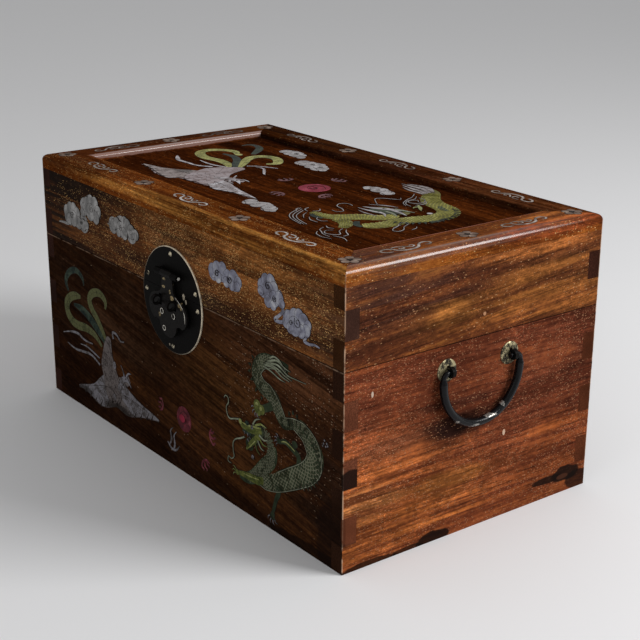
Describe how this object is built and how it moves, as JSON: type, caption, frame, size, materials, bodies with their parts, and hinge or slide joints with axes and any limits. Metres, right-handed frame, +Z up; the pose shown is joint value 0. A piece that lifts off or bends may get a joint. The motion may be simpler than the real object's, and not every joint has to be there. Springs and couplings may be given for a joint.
{
  "type": "rosewood box",
  "caption": "Rectangular rosewood chest with hinged lid, inlaid shell figures, round brass lock plate with hasp, and a drop handle on each end.",
  "frame": {"origin": "centre of the flat underside, at the height of the surface the box stands on", "axes": "+X to the right end, -Y to the front with the lock, +Z up; the lid is closed and the handles hang down"},
  "size_m": [0.4412, 0.2594, 0.218],
  "materials": {
    "rosewood": "dark red-brown rosewood, oiled, low sheen",
    "rosewood_frame": "orange-brown rosewood, oiled, low sheen",
    "rosewood_panel": "dark brown rosewood, oiled, low sheen",
    "white_shell": "polished mother-of-pearl, lilac-white",
    "green_stone": "polished grey-green soapstone with fine engraved lines",
    "red_stone": "polished dark red stone",
    "pink_stone": "polished pink stone",
    "blackened_brass": "black patina worn to bright brass at edges",
    "bright_brass": "worn brass, dull"
  },
  "bodies": {
    "box": {"body_nails": "bright_brass", "bottom_board": "rosewood", "front_board": "rosewood", "front_dragon": "green_stone", "front_pearl": "red_stone", "front_phoenix": "white_shell", "left_board": "rosewood", "left_handle_eyes": "blackened_brass", "left_handle_rosettes": "blackened_brass", "left_hinge_body_leaf": "blackened_brass", "left_hinge_pin": "blackened_brass", "lock_plate_lower": "blackened_brass", "lock_staples": "blackened_brass", "rear_board": "rosewood", "right_board": "rosewood", "right_handle_eyes": "blackened_brass", "right_handle_rosettes": "blackened_brass", "right_hinge_body_leaf": "blackened_brass", "right_hinge_pin": "blackened_brass"},
    "lid": {"hasp_pin": "blackened_brass", "left_hinge_lid_leaf": "blackened_brass", "lid_frame_front": "rosewood_frame", "lid_frame_left": "rosewood_frame", "lid_frame_rear": "rosewood_frame", "lid_frame_right": "rosewood_frame", "lid_front_board": "rosewood", "lid_front_clouds": "white_shell", "lid_left_board": "rosewood", "lid_nails": "bright_brass", "lid_panel": "rosewood_panel", "lid_rear_board": "rosewood", "lid_right_board": "rosewood", "lock_plate_upper": "blackened_brass", "panel_clouds": "white_shell", "panel_dragon": "green_stone", "panel_pearl": "pink_stone", "panel_phoenix": "white_shell", "right_hinge_lid_leaf": "blackened_brass"},
    "hasp": {"hasp": "blackened_brass"},
    "right_bail": {"right_handle_bail": "blackened_brass"},
    "left_bail": {"left_handle_bail": "blackened_brass"}
  },
  "joints": [
    {"name": "lid_hinge", "type": "hinge", "parent": "box", "child": "lid", "pos_m": [0, 0.1235, 0.14815], "axis": [-1, 0, 0], "range_deg": [0, 180]},
    {"name": "hasp_hinge", "type": "hinge", "parent": "lid", "child": "hasp", "pos_m": [0, -0.1243, 0.163], "axis": [-1, 0, 0], "range_deg": [0, 180]},
    {"name": "right_bail_pivot", "type": "hinge", "parent": "box", "child": "right_bail", "pos_m": [0.2166, 0, 0.1293], "axis": [0, -1, 0], "range_deg": [0, 180]},
    {"name": "left_bail_pivot", "type": "hinge", "parent": "box", "child": "left_bail", "pos_m": [-0.2166, 0, 0.1293], "axis": [0, 1, 0], "range_deg": [0, 180]}
  ]
}
